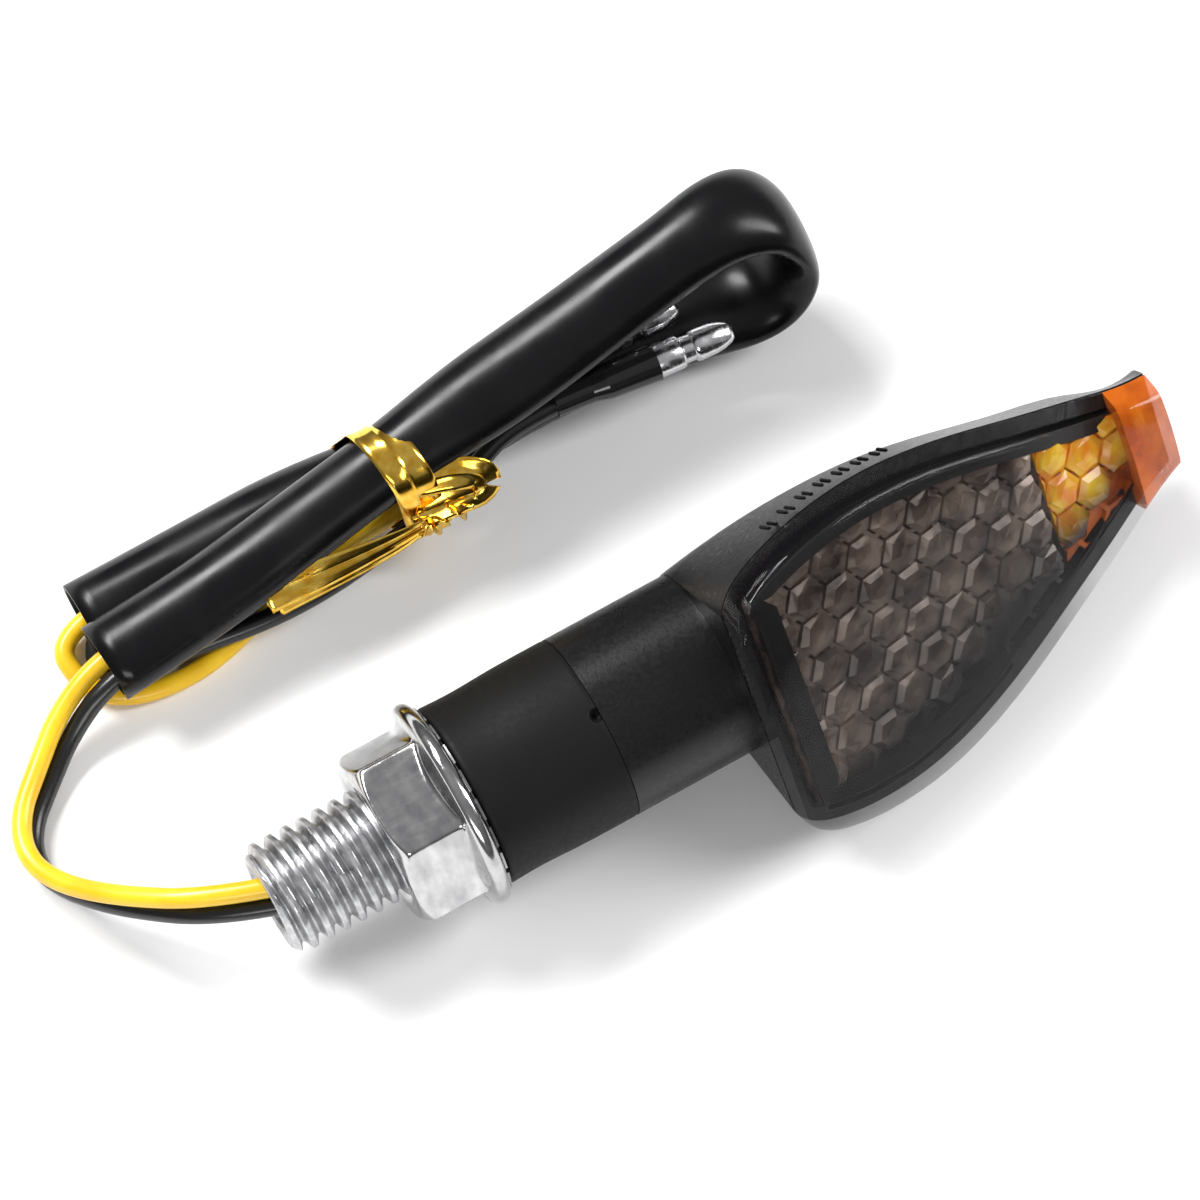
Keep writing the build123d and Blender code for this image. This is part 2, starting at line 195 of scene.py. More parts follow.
# ---------------------------------------------------------------- materials
def grain(mat, scale, strength, distance=0.05, detail=4.0, kind="noise", stretch=(1, 1, 1)):
    """Fine relief over a material, scale in features per metre."""
    tree = mat.node_tree
    coord = tree.nodes.new("ShaderNodeTexCoord")
    mapping = tree.nodes.new("ShaderNodeMapping")
    mapping.inputs["Scale"].default_value = stretch
    if kind == "noise":
        tex = tree.nodes.new("ShaderNodeTexNoise")
        tex.inputs["Detail"].default_value = detail
        out = tex.outputs[0]
    else:
        tex = tree.nodes.new("ShaderNodeTexVoronoi")
        out = tex.outputs["Distance"]
    tex.inputs["Scale"].default_value = scale
    bump = tree.nodes.new("ShaderNodeBump")
    bump.inputs["Strength"].default_value = strength
    bump.inputs["Distance"].default_value = distance / 1000
    tree.links.new(coord.outputs["Object"], mapping.inputs["Vector"])
    tree.links.new(mapping.outputs["Vector"], tex.inputs["Vector"])
    tree.links.new(out, bump.inputs["Height"])
    last = tree.nodes["Principled BSDF"].inputs["Normal"]
    if last.is_linked:
        tree.links.new(last.links[0].from_socket, bump.inputs["Normal"])
    tree.links.new(bump.outputs["Normal"], last)
    return mat


def mottle(mat, scale, low, high, socket="Roughness", lo_at=0.35, hi_at=0.65, stretch=(1, 1, 1), detail=6.0):
    """Vary a socket between low and high over a noise; low and high are numbers or colours."""
    tree = mat.node_tree
    coord = tree.nodes.new("ShaderNodeTexCoord")
    mapping = tree.nodes.new("ShaderNodeMapping")
    mapping.inputs["Scale"].default_value = stretch
    tex = tree.nodes.new("ShaderNodeTexNoise")
    tex.inputs["Scale"].default_value = scale
    tex.inputs["Detail"].default_value = detail
    ramp = tree.nodes.new("ShaderNodeValToRGB")
    ramp.color_ramp.elements[0].position = lo_at
    ramp.color_ramp.elements[1].position = hi_at
    for element, value in zip(ramp.color_ramp.elements, (low, high)):
        element.color = (*value, 1) if isinstance(value, tuple) else (value, value, value, 1)
    tree.links.new(coord.outputs["Object"], mapping.inputs["Vector"])
    tree.links.new(mapping.outputs["Vector"], tex.inputs["Vector"])
    tree.links.new(tex.outputs[0], ramp.inputs["Fac"])
    tree.links.new(ramp.outputs["Color"], tree.nodes["Principled BSDF"].inputs[socket])
    return mat


def fade(mat, toward, start, end, socket, near, far):
    """Change a socket's colour along a direction: near up to start, far beyond end (metres along it)."""
    tree = mat.node_tree
    shader = tree.nodes["Principled BSDF"]
    coord = tree.nodes.new("ShaderNodeTexCoord")
    dot = tree.nodes.new("ShaderNodeVectorMath")
    dot.operation = "DOT_PRODUCT"
    dot.inputs[1].default_value = toward
    span = tree.nodes.new("ShaderNodeMapRange")
    span.inputs["From Min"].default_value = start
    span.inputs["From Max"].default_value = end
    mix = tree.nodes.new("ShaderNodeMix")
    mix.data_type = "RGBA"
    mix.inputs[6].default_value = (*near, 1)
    mix.inputs[7].default_value = (*far, 1)
    if shader.inputs[socket].is_linked:
        tree.links.new(shader.inputs[socket].links[0].from_socket, mix.inputs[6])
    tree.links.new(coord.outputs["Object"], dot.inputs[0])
    tree.links.new(dot.outputs["Value"], span.inputs["Value"])
    tree.links.new(span.outputs["Result"], mix.inputs[0])
    tree.links.new(mix.outputs[2], shader.inputs[socket])
    return mat


def across_lens(slope):
    """Direction towards the lens's low side, turned by slope towards its wide end, in the row frame."""
    return (TURN @ Vector((slope, -1, 0))).normalized()


def make_materials():
    m = {}
    # low_side: direction towards the lens's low side, along which the fades below paint shade and a
    # reflection
    low_side = across_lens(0.26)
    m["stud"] = mottle(paint("stud_metal", (0.5, 0.5, 0.51), 0.34, 1.0), 900, 0.26, 0.46)
    mottle(m["stud"], 1300, (0.40, 0.40, 0.41), (0.56, 0.56, 0.57), "Base Color")
    grain(m["stud"], 4200, 0.15, 0.02)
    m["nut"] = mottle(paint("nut_chrome", (0.5, 0.5, 0.5), 0.12, 1.0), 500, 0.08, 0.2, stretch=(1, 3, 3))
    mottle(m["nut"], 420, (0.36, 0.36, 0.365), (0.58, 0.58, 0.575), "Base Color", 0.3, 0.7, stretch=(2, 1, 1))
    grain(m["nut"], 1600, 0.12, 0.02, stretch=(4, 1, 1))
    m["washer"] = mottle(paint("washer_steel", (0.32, 0.32, 0.32), 0.3, 1.0), 900, 0.2, 0.38)
    m["rubber"] = paint("stem_rubber", (0.005, 0.005, 0.005), 0.5, Specular_IOR_Level=0.15)
    mottle(m["rubber"], 2200, 0.50, 0.60)
    grain(m["rubber"], 6000, 0.45, 0.03)
    m["housing"] = paint("housing_plastic", (0.005, 0.005, 0.0055), 0.4, Specular_IOR_Level=0.27)
    mottle(m["housing"], 2600, 0.27, 0.38)
    grain(m["housing"], 5200, 0.3, 0.03)
    m["bead"] = grain(paint("weld_bead", (0.005, 0.005, 0.005), 0.22, Specular_IOR_Level=0.4), 1800, 0.8, 0.1)
    m["mask"] = paint("mask_black", (0.004, 0.004, 0.004), 0.35, Specular_IOR_Level=0.25)
    grain(m["mask"], 3000, 0.2, 0.03)
    m["smoke"] = paint("smoked_plastic", (0.008, 0.007, 0.008), 0.05, IOR=1.5, Specular_IOR_Level=0.32,
                       Alpha=0.34)
    mottle(m["smoke"], 900, 0.035, 0.08)
    # painted reflection: the smoked lens turns a lighter grey towards its low side, standing in for the grey
    # sheen reflected along that edge
    fade(m["smoke"], low_side, 0.0190, 0.0225, "Base Color", (0.008, 0.007, 0.008), (0.035, 0.035, 0.038))
    fade(m["smoke"], (1, 0, 0), 0.051, 0.057, "Alpha", (0.34, 0.34, 0.34), (0.10, 0.10, 0.10))
    m["amber"] = paint("amber_plastic", (0.5, 0.1, 0.005), 0.07, IOR=1.5, Specular_IOR_Level=0.35, Alpha=0.7)
    mottle(m["amber"], 300, (0.36, 0.05, 0.002), (0.62, 0.13, 0.006), "Base Color")
    m["amber_cells"] = mottle(paint("amber_cells", (1.0, 0.45, 0.01), 0.12), 450, (0.85, 0.24, 0.003),
                              (1.0, 0.66, 0.04), "Base Color")
    grain(m["amber_cells"], 260, 0.35, 0.4, 2.0)
    # painted light and shade: the amber cells stay bright towards the lens's upper side and darken to near
    # black towards its low side
    fade(m["amber_cells"], low_side, 0.0150, 0.0185, "Base Color", (1.0, 0.5, 0.02), (0.05, 0.012, 0.002))
    m["optic"] = mottle(paint("optic_plastic", (0.3, 0.25, 0.23), 0.12, 0.15), 300, (0.075, 0.046, 0.036),
                        (0.50, 0.37, 0.29), "Base Color", 0.36, 0.70)
    grain(m["optic"], 260, 0.35, 0.4, 2.0)
    # painted shade: the honeycomb cells, and the lens inner edge that shares this material, darken to near
    # black towards the lens's low side
    fade(m["optic"], low_side, 0.0140, 0.0195, "Base Color", (0.3, 0.25, 0.2), (0.006, 0.005, 0.005))
    m["yellow"] = mottle(paint("yellow_pvc", (0.86, 0.53, 0.015), 0.3), 260, (0.80, 0.46, 0.01),
                         (0.90, 0.58, 0.02), "Base Color")
    grain(m["yellow"], 1800, 0.15, 0.04)
    m["black"] = grain(paint("black_pvc", (0.008, 0.008, 0.008), 0.28), 1800, 0.15, 0.04)
    m["sleeve"] = paint("sleeve_pvc", (0.003, 0.003, 0.0035), 0.25, Specular_IOR_Level=0.24)
    mottle(m["sleeve"], 180, 0.2, 0.34)
    grain(m["sleeve"], 110, 0.3, 0.4, 2.0, stretch=(0.4, 1, 1))
    grain(m["sleeve"], 3000, 0.08, 0.02)
    m["tin"] = mottle(paint("terminal_tin", (0.7, 0.7, 0.71), 0.2, 1.0), 1500, 0.14, 0.34)
    grain(m["tin"], 2600, 0.3, 0.03)
    m["gold"] = mottle(paint("gold_foil", (0.9, 0.55, 0.07), 0.16, 1.0), 900, (0.80, 0.42, 0.03),
                       (0.98, 0.68, 0.13), "Base Color")
    grain(m["gold"], 500, 0.18, 0.08, 2.0)
    m["boot"] = grain(paint("boot_vinyl", (0.01, 0.01, 0.01), 0.16), 900, 0.15, 0.05)
    m["board"] = mottle(paint("board_laminate", (0.02, 0.1, 0.03), 0.4), 800, (0.012, 0.07, 0.02),
                        (0.03, 0.13, 0.04), "Base Color")
    m["led"] = mottle(paint("led_plastic", (0.9, 0.7, 0.2), 0.3), 900, 0.22, 0.4)
    m["dark"] = grain(paint("component_black", (0.02, 0.02, 0.02), 0.45), 3000, 0.3, 0.03)
    m["solder"] = mottle(paint("solder_metal", (0.7, 0.7, 0.72), 0.2, 1.0), 1500, 0.12, 0.3)
    return m


M = make_materials()
LOOK = {
    "lock_washer": "washer", "stem_bush": "dark", "stud_grommet": "rubber", "rear_housing": "housing",
    "smoked_lens": "smoke", "amber_tip_lens": "amber", "lens_bead": "bead", "honeycomb_optic": "optic",
    "led_board": "board", "leds": "led", "resistors": "dark", "reverse_diode": "dark",
    "solder_joints": "solder", "board_clips": "dark",
    "yellow_inner_lead": "yellow", "black_inner_lead": "black", "yellow_bullet": "tin", "black_bullet": "tin",
    "yellow_bullet_boot": "boot", "black_bullet_boot": "boot", "tie_band": "gold", "tie_tails": "gold",
    "threaded_stud": "stud", "flange_nut": "nut", "rubber_stem": "rubber",
}
for name, look in LOOK.items():
    dress(nodes[name], M[look])


# ---------------------------------------------------------------- cords
def nurbs(name, route, radius=0.0):
    curve = bpy.data.curves.new(name, "CURVE")
    curve.dimensions = "3D"
    curve.resolution_u = 12
    spline = curve.splines.new("NURBS")
    spline.points.add(len(route) - 1)
    for point, at in zip(spline.points, route):
        point.co = (*metres(at), 1)
    spline.order_u = 3
    spline.use_endpoint_u = True
    curve.bevel_depth = radius / 1000
    curve.bevel_resolution = 8
    curve.use_fill_caps = radius > 0
    obj = bpy.data.objects.new(name, curve)
    collection.objects.link(obj)
    return obj


def line_of(route):
    """Points along the smooth line of a route, in metres."""
    guide = nurbs("guide", route)
    deps = bpy.context.evaluated_depsgraph_get()
    mesh = bpy.data.meshes.new_from_object(guide.evaluated_get(deps))
    points = [v.co.copy() for v in mesh.vertices]
    bpy.data.objects.remove(guide)
    bpy.data.meshes.remove(mesh)
    return points


def length_of(points):
    return sum((b - a).length for a, b in zip(points, points[1:]))


def grid_mesh(name, rings, closed_ends=False, loop=False):
    """A mesh from rings of points; every ring is closed round, and loop joins the last ring to the first."""
    verts = [p for ring in rings for p in ring]
    n = len(rings[0])
    count = len(rings)
    faces = []
    for i in range(count if loop else count - 1):
        j = (i + 1) % count
        for k in range(n):
            m = (k + 1) % n
            faces.append((i * n + k, i * n + m, j * n + m, j * n + k))
    if closed_ends:
        faces.append(tuple(range(n))[::-1])
        faces.append(tuple((count - 1) * n + k for k in range(n)))
    mesh = bpy.data.meshes.new(name)
    mesh.from_pydata(verts, [], faces)
    for face in mesh.polygons:
        face.use_smooth = True
    mesh.update()
    obj = bpy.data.objects.new(name, mesh)
    collection.objects.link(obj)
    return obj


def ease(stations, f):
    """Smooth interpolation through (fraction, value...) stations."""
    for lo, hi in zip(stations, stations[1:]):
        if f <= hi[0]:
            t = (f - lo[0]) / (hi[0] - lo[0])
            t = t * t * (3 - 2 * t)
            return [a + (b - a) * t for a, b in zip(lo[1:], hi[1:])]
    return list(stations[-1][1:])


# fraction along the sleeve, half width, half height
SLEEVE_SHAPE = [
    (0.0, 3.7, 2.7), (0.08, 3.5, 2.8), (0.19, 3.3, 2.8), (0.28, 3.9, 2.6), (0.40, 3.7, 2.7),
    (0.47, 4.3, 2.0), (0.50, 4.5, 1.5), (0.54, 4.3, 1.9), (0.62, 3.6, 2.8), (0.72, 3.3, 3.0),
    (0.83, 3.4, 2.8), (1.0, 3.6, 2.7),
]
SLEEVE_WALL = 0.45


def make_sleeve():
    line = line_of(SLEEVE_ROUTE)
    total = length_of(line)
    outer, inner = [], []
    run = 0.0
    for i, p in enumerate(line):
        if i:
            run += (p - line[i - 1]).length
        f = run / total
        ahead = line[min(i + 1, len(line) - 1)] - line[max(i - 1, 0)]
        t = ahead.normalized()
        across = Vector((0, 1, 0))
        w = (across - t * across.dot(t)).normalized()
        n = t.cross(w)
        a, b = ease(SLEEVE_SHAPE, f)
        ring_out, ring_in = [], []
        for k in range(48):
            q = 2 * math.pi * k / 48
            ring_out.append(p + (w * a * math.cos(q) + n * b * math.sin(q)) / 1000)
            inside = w * (a - SLEEVE_WALL) * math.cos(q) + n * (b - SLEEVE_WALL) * math.sin(q)
            ring_in.append(p + inside / 1000)
        outer.append(ring_out)
        inner.append(ring_in)
    rings = outer + inner[::-1]
    sleeve = grid_mesh("sleeve_tube", rings, loop=True)
    return sleeve, line, total


def make_lead(name, out, back, shift, node, mat, bullet_pieces):
    inside = [(x, y + shift, z - LEAD_SAG) for x, y, z in SLEEVE_ROUTE[:-1]]
    route = out + inside + back
    lead = nurbs(name, route, WIRE_R)
    dress(lead, mat)
    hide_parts(node)
    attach(lead, "root")
    length = length_of(line_of(route))
    return lead


sleeve, sleeve_line, sleeve_length = make_sleeve()
dress(sleeve, M["sleeve"])
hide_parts("wire_sleeve")
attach(sleeve, "root")
# ---------------------------------------------------------------- turned parts round the stem axis
def around(r, x, angle):
    """A point at radius r from the stem axis, in metres; angle runs from +Y towards +Z."""
    return Vector((x, r * math.cos(angle), r * math.sin(angle))) / 1000


def turned(name, profile, steps, node, mat, shape=None):
    """A closed ring of turned surface; shape(x, r, angle) may change each radius."""
    rings = []
    for x, r in profile:
        ring = []
        for k in range(steps):
            angle = 2 * math.pi * k / steps
            ring.append(around(shape(x, r, angle) if shape else r, x, angle))
        rings.append(ring)
    obj = grid_mesh(name, rings, loop=True)
    dress(obj, mat)
    if node:
        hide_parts(node)
    return obj


def sharpen(obj, degrees=40):
    """Keep edges crisp where faces meet at more than this angle."""
    mesh = bmesh.new()
    mesh.from_mesh(obj.data)
    bmesh.ops.recalc_face_normals(mesh, faces=mesh.faces)
    for edge in mesh.edges:
        edge.smooth = not (edge.is_manifold and edge.calc_face_angle(0) > math.radians(degrees))
    mesh.to_mesh(obj.data)
    mesh.free()


def thread_profile(phase):
    """0 at the root, 1 at the crest."""
    phase = abs((phase % 1.0) - 0.5) * 2
    lift = min(max((0.90 - phase) / 0.62, 0), 1)
    return lift * lift * (3 - 2 * lift) * 0.35 + lift * 0.65


def make_stud():
    profile = []
    x = STUD_END
    while x < -2.0:
        profile.append((x, STUD_R))
        x += 0.075
    profile += [(-2.0, STUD_R), (1.0, STUD_R), (1.0, 6.6), (2.8, 6.6), (2.8, BORE_R), (-17.8, BORE_R),
                (STUD_END, BORE_R + 0.35)]
    last = len(profile) - 7

    def shape(x, r, angle):
        if x < -2.0 and r > 4:
            turn = thread_profile(x / PITCH - angle / (2 * math.pi))
            worn = 0.03 * noise.noise(Vector((x * 1.7, angle * 3, 0)))
            threaded = ROOT_R + (STUD_R - ROOT_R) * turn + worn * turn
            lead_in = 4.15 + 1.05 * (x - STUD_END)
            return min(threaded, lead_in) if x - STUD_END > 0.5 else min(lead_in, max(threaded, 4.35))
        return r

    stud = turned("stud_thread", profile, 144, "threaded_stud", M["stud"], shape)
    sharpen(stud, 50)
    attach(stud, "root")


def make_nut():
    half = NUT_AF / 2
    xs = [NUT_FROM + 0.09 * k for k in range(int((RIM_TO - NUT_FROM) / 0.09))] + [RIM_TO]
    profile = [(x, 7.0) for x in xs]
    profile += [(RIM_TO, 8.65), (FLANGE_TO, 8.65), (FLANGE_TO, 5.05), (NUT_FROM + 0.6, 5.05)]
    profile += [(NUT_FROM, 5.7), (NUT_FROM, 6.3)]

    def shape(x, r, angle):
        if r != 7.0:
            return r
        flats = sum(max(math.cos(angle - math.radians(30 + 60 * k)), 0) ** 70 for k in range(6)) ** (1 / 70)
        body = half / flats
        cone = 6.75 + 0.75 * (x - NUT_FROM) + 0.9 * math.sqrt(max(x - NUT_FROM, 0))
        body = (body ** -60 + cone ** -60) ** (-1 / 60)
        flare = 0.0
        if x > -4.4:
            u = min((x + 4.4) / 2.9, 1)
            flare = 6.2 + 2.9 * u ** 2.2
        middle = (RIM_FROM + RIM_TO) / 2
        bulge = (x - middle) / (RIM_TO - middle + 0.02)
        rim = FLANGE_R - 0.75 + 0.75 * math.sqrt(max(1 - bulge * bulge, 0)) if abs(bulge) < 1 else 0
        if x < middle:
            flare = max(flare, rim)
        else:
            flare = max(rim, FLANGE_R - 0.75)
        if flare < FLANGE_R - 1.2:
            return (body ** 40 + max(flare, 0.1) ** 40) ** (1 / 40)
        return max(flare, body)

    nut = turned("nut_body", profile, 240, "flange_nut", M["nut"], shape)
    sharpen(nut, 60)
    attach(nut, "nut")


def make_stem():
    def skin(x, r, angle):
        if r < 7.5:
            return r
        near = math.hypot((x - 11.9) / 0.62, (angle - math.radians(102)) * STEM_R / 0.62)
        dent = 0.75 * max(1 - near * near, 0)
        bulge = -0.16 * math.exp(-((x - 3.0) / 3.2) ** 2)
        return r + bulge - dent

    split = 6.0
    front = [(0.0, 7.85), (0.12, 8.1), (0.4, STEM_R)]
    front += [(0.4 + 0.29 * k, STEM_R) for k in range(1, 20)] + [(split, STEM_R)]
    front += [(split, 3.2), (2.85, 3.2), (2.85, 6.65), (1.0, 6.65), (1.0, 5.05), (0.0, 5.05)]
    half_a = turned("stem_rubber_a", front, 96, "rubber_stem", M["rubber"], skin)
    sharpen(half_a, 50)
    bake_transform(half_a)
    rear = [(split, STEM_R)] + [(split + 0.14 * k, STEM_R) for k in range(1, 43)]
    rear += [(STEM_TO - 0.02, STEM_R - 0.07), (STEM_TO, STEM_R - 0.2), (STEM_TO, 5.25), (9.65, 5.25)]
    rear += [(9.65, 6.45), (7.75, 6.45), (7.75, 3.2), (split, 3.2)]
    half_b = turned("stem_rubber_b", rear, 288, None, M["rubber"], skin)
    sharpen(half_b, 50)
    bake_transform(half_b)


def piece_of_tube(name, points, radius):
    """A round tube along points in metres, with a ring at each point."""
    rings = []
    for i, p in enumerate(points):
        t = (points[min(i + 1, len(points) - 1)] - points[max(i - 1, 0)]).normalized()
        w = t.cross(Vector((0, 0, 1))).normalized()
        n = w.cross(t)
        spots = [2 * math.pi * k / 20 for k in range(20)]
        rings.append([p + (w * math.cos(a) + n * math.sin(a)) * radius / 1000 for a in spots])
    return grid_mesh(name, rings, closed_ends=True)


def make_inner_lead(color, side):
    """The lead from the stud's bore to the board, in four pieces: the first fixed to the root, the middle two
    on no body, the last fixed to the head.
    """
    route = [(-15.4, side, 0), (4.0, side, 0), (19.0, 1.2 * side, 0), (26.4, 2.1 * side, -0.6)]
    route.append((28.6, 2.3 * side, 0.9))
    line = line_of([head_point(*p) * 1000 for p in route])
    fine = []
    for a, b in zip(line, line[1:]):
        parts = max(int((b - a).length / 0.0003), 1)
        fine += [a.lerp(b, k / parts) for k in range(parts)]
    fine.append(line[-1])
    cuts = [-0.02, 0.0005, 0.0062, 0.0120, 0.05]
    for k, (low, high) in enumerate(zip(cuts, cuts[1:])):
        run = [p for p in fine if low - 0.0003 <= p.x <= high + 0.0003]
        part = piece_of_tube(color + "_inner_" + "abcd"[k], run, WIRE_R)
        dress(part, M[color])
        if k == 0:
            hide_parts(color + "_inner_lead")
            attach(part, "root")
        elif k == 1:
            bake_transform(part)
        elif k == 2:
            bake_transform(part)
        else:
            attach(part, "head")


make_stud()
make_nut()
make_stem()
make_inner_lead("yellow", 1)
make_inner_lead("black", -1)


# ---------------------------------------------------------------- head
def front_height(x):
    run = x - 24.9
    return 13.0 - 0.17 * run - 0.0018 * run * run


def rim_height(x):
    return front_height(x) - 3.3 + 0.02 * (x - 24.9)


HALF_HEIGHT = [
    (23.7, 10.6), (24.9, 12.4), (27.4, 13.8), (32.0, 14.9), (37.0, 15.1), (43.0, 14.1), (49.0, 12.1),
    (55.0, 9.6), (61.0, 7.1), (67.8, 4.7),
]


def half_at(x):
    pts = HALF_HEIGHT
    for k in range(len(pts) - 1):
        if x <= pts[k + 1][0]:
            break
    x0, y0 = pts[k]
    x1, y1 = pts[k + 1]
    before = pts[max(k - 1, 0)]
    after = pts[min(k + 2, len(pts) - 1)]
    m0 = (y1 - before[1]) / (x1 - before[0])
    m1 = (after[1] - y0) / (after[0] - x0)
    h = x1 - x0
    t = (x - x0) / h
    return ((2 * t ** 3 - 3 * t ** 2 + 1) * y0 + (t ** 3 - 2 * t ** 2 + t) * h * m0
            + (3 * t ** 2 - 2 * t ** 3) * y1 + (t ** 3 - t ** 2) * h * m1)


def plate_point(x, y, lift):
    """A point over the optic plate's sloping top face."""
    along = (x - 23.7) / math.cos(TILT)
    z = front_height(23.7) - 2.6 - math.sin(TILT) * along
    return head_point(x + math.sin(TILT) * lift, y, z + math.cos(TILT) * lift)


def make_cells(name, x0, x1, mat):
    """Hexagonal pillow cells, faceted as moulded, on a thin web, clipped to the lens outline."""
    rng = random.Random(len(name))
    pitch = 3.7
    radius = pitch / math.sqrt(3)
    verts, faces = [], []
    across = int(34 / pitch) + 2
    start = 43.9 - 1.5 * radius * 14
    for col in range(-2, 34):
        cx = start + 1.5 * radius * col
        if cx < x0 - radius or cx > x1 + radius:
            continue
        for row in range(-across, across):
            cy = pitch * (row + 0.5 * (col % 2))
            limit = half_at(min(max(cx, 24), 67.5)) - 2.9
            if cy > limit + 0.9 or cy < -limit + 1.6:
                continue
            base = len(verts)
            ring_specs = ((radius * 1.0, -0.55, 0.0), (radius * 0.93, 0.0, 0.0), (radius * 0.66, 0.40, 0.10),
                          (radius * 0.26, 0.55, 0.08))
            for size, lift, jitter in ring_specs:
                for k in range(6):
                    angle = math.pi / 3 * k
                    px = cx + size * math.cos(angle) + rng.uniform(-jitter, jitter)
                    py = cy + size * math.sin(angle) + rng.uniform(-jitter, jitter)
                    px = min(max(px, x0), x1)
                    edge = half_at(min(max(px, 24), 67.5)) - 2.35
                    py = min(max(py, -edge), edge)
                    verts.append(plate_point(px, py, lift + rng.uniform(-jitter, jitter)))
            for ring in range(3):
                for k in range(6):
                    m = (k + 1) % 6
                    low = base + ring * 6
                    faces.append((low + k, low + m, low + 6 + m, low + 6 + k))
            faces.append(tuple(base + 18 + k for k in range(6)))
    mesh = bpy.data.meshes.new(name)
    mesh.from_pydata(verts, [], faces)
    mesh.update()
    obj = bpy.data.objects.new(name, mesh)
    collection.objects.link(obj)
    dress(obj, mat)
    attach(obj, "head")
    return obj


def make_lip():
    """The pale inner edge of the lens wall along its lower side."""
    points = []
    for k in range(60):
        x = 29.0 + 33.0 * k / 59
        wave = 0.18 * noise.noise(Vector((x * 0.5, 3, 1)))
        points.append(head_point(x, -(half_at(x) - 2.6) + wave, front_height(x) - 1.95))
    rings = []
    for p, q in zip(points, points[1:] + [points[-1] * 2 - points[-2]]):
        t = (q - p).normalized()
        w = t.cross(Vector((0, 0, 1))).normalized()
        n = w.cross(t)
        spots = [a * math.pi / 4 for a in range(8)]
        rings.append([p + (w * math.cos(a) + n * math.sin(a)) * 0.00009 for a in spots])
    lip = grid_mesh("lens_inner_edge", rings, closed_ends=True)
    dress(lip, M["optic"])
    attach(lip, "head")


def make_mask():
    """Black wall inside the lens, from the window down to the seam, open along the tip's lower side."""
    line = []
    for k in range(70):
        x = 26.1 + 38.5 * k / 69
        line.append((x, half_at(x) - 2.0))
    path = [(x, y) for x, y in line[::-1]]
    path += [(26.1, (half_at(26.1) - 2.0) * (1 - k / 10)) for k in range(1, 20)]
    path += [(x, -y) for x, y in line if x < 47]
    verts, faces = [], []
    for x, y in path:
        reach = half_at(x) - 2.0
        pull = (reach - 1.9) / reach
        inward = (max(x, 26.1) + (2.1 if x < 26.2 else 0.0), y * pull)
        top = front_height(x) - 1.95
        verts.append(head_point(inward[0], inward[1], top - 0.5))
        verts.append(head_point(x, y, top))
        verts.append(head_point(x, y * 0.995, rim_height(x) - 0.4))
    for k in range(len(path) - 1):
        for m in range(2):
            faces.append((k * 3 + m, k * 3 + m + 1, k * 3 + m + 4, k * 3 + m + 3))
    mesh = bpy.data.meshes.new("lens_mask")
    mesh.from_pydata(verts, [], faces)
    mesh.update()
    obj = bpy.data.objects.new("lens_mask", mesh)
    collection.objects.link(obj)
    wall = obj.modifiers.new("wall", "SOLIDIFY")
    wall.thickness = 0.0001
    dress(obj, M["mask"])
    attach(obj, "head")


def make_ticks():
    """Small raised grip ticks along the housing's upper back edge."""
    mesh = bmesh.new()
    for k in range(7):
        x = 30.5 + 1.9 * k
        z = rim_height(x) - 2.2
        for dx in (0.0, 0.7):
            tick = bmesh.ops.create_cube(mesh, size=1.0)["verts"]
            for v in tick:
                c = v.co
                lean = 0.5 * c.z
                y = half_at(x) - 0.45 + c.y * 0.38 - 0.14 * (0.5 - c.z)
                v.co = head_point(x + dx + c.x * 0.28 + lean, y, z + c.z * 1.0)
    data = bpy.data.meshes.new("housing_ticks")
    bmesh.ops.recalc_face_normals(mesh, faces=mesh.faces)
    mesh.to_mesh(data)
    mesh.free()
    obj = bpy.data.objects.new("housing_ticks", data)
    collection.objects.link(obj)
    soft = obj.modifiers.new("edge", "BEVEL")
    soft.width = 0.00012
    soft.segments = 2
    dress(obj, M["housing"])
    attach(obj, "head")


make_mask()
make_ticks()
make_lip()
make_cells("honeycomb_cells", 26.2, 54.7, M["optic"])
make_cells("amber_cells", 54.9, 66.2, M["amber_cells"])

# ---------------------------------------------------------------- tie
def ribbon(name, stations, width, ridge=0.16, rough=0.08, seed=3, ragged=False, loop=False,
           pinch=0.0):
    """A foil strip with a wire down its middle, through (point, width direction) stations in mm."""
    rng = random.Random(seed)
    across = [-1.0, -0.72, -0.42, -0.16, -0.07, 0.0, 0.07, 0.16, 0.42, 0.72, 1.0]
    count = len(stations)
    verts, faces = [], []
    centre = [Vector(p) for p, _ in stations]
    for i, (p, side) in enumerate(stations):
        ahead = centre[(i + 1) % count] if loop else centre[min(i + 1, count - 1)]
        behind = centre[i - 1] if loop else centre[max(i - 1, 0)]
        t = (ahead - behind).normalized()
        w = Vector(side)
        w = (w - t * w.dot(t)).normalized()
        n = t.cross(w)
        for v in across:
            lift = ridge * math.exp(-(v / 0.09) ** 2)
            crumple = rough * noise.noise(Vector((i * 0.21 + seed, v * 1.3, seed * 1.7)))
            shift = rng.uniform(-0.25, 0.25) if ragged and i == count - 1 else 0.0
            span = width * (1 - pinch * (1 - i / (count - 1)))
            q = centre[i] + w * (v * span / 2) + n * (lift + crumple) + t * shift
            verts.append(q / 1000)
    m = len(across)
    for i in range(count if loop else count - 1):
        j = (i + 1) % count
        for k in range(m - 1):
            faces.append((i * m + k, i * m + k + 1, j * m + k + 1, j * m + k))
    mesh = bpy.data.meshes.new(name)
    mesh.from_pydata(verts, [], faces)
    for face in mesh.polygons:
        face.use_smooth = True
    mesh.update()
    obj = bpy.data.objects.new(name, mesh)
    collection.objects.link(obj)
    sharpen(obj, 38)
    thick = obj.modifiers.new("foil", "SOLIDIFY")
    thick.thickness = 0.00007
    thick.offset = 0
    dress(obj, M["gold"])
    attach(obj, "root")
    return obj


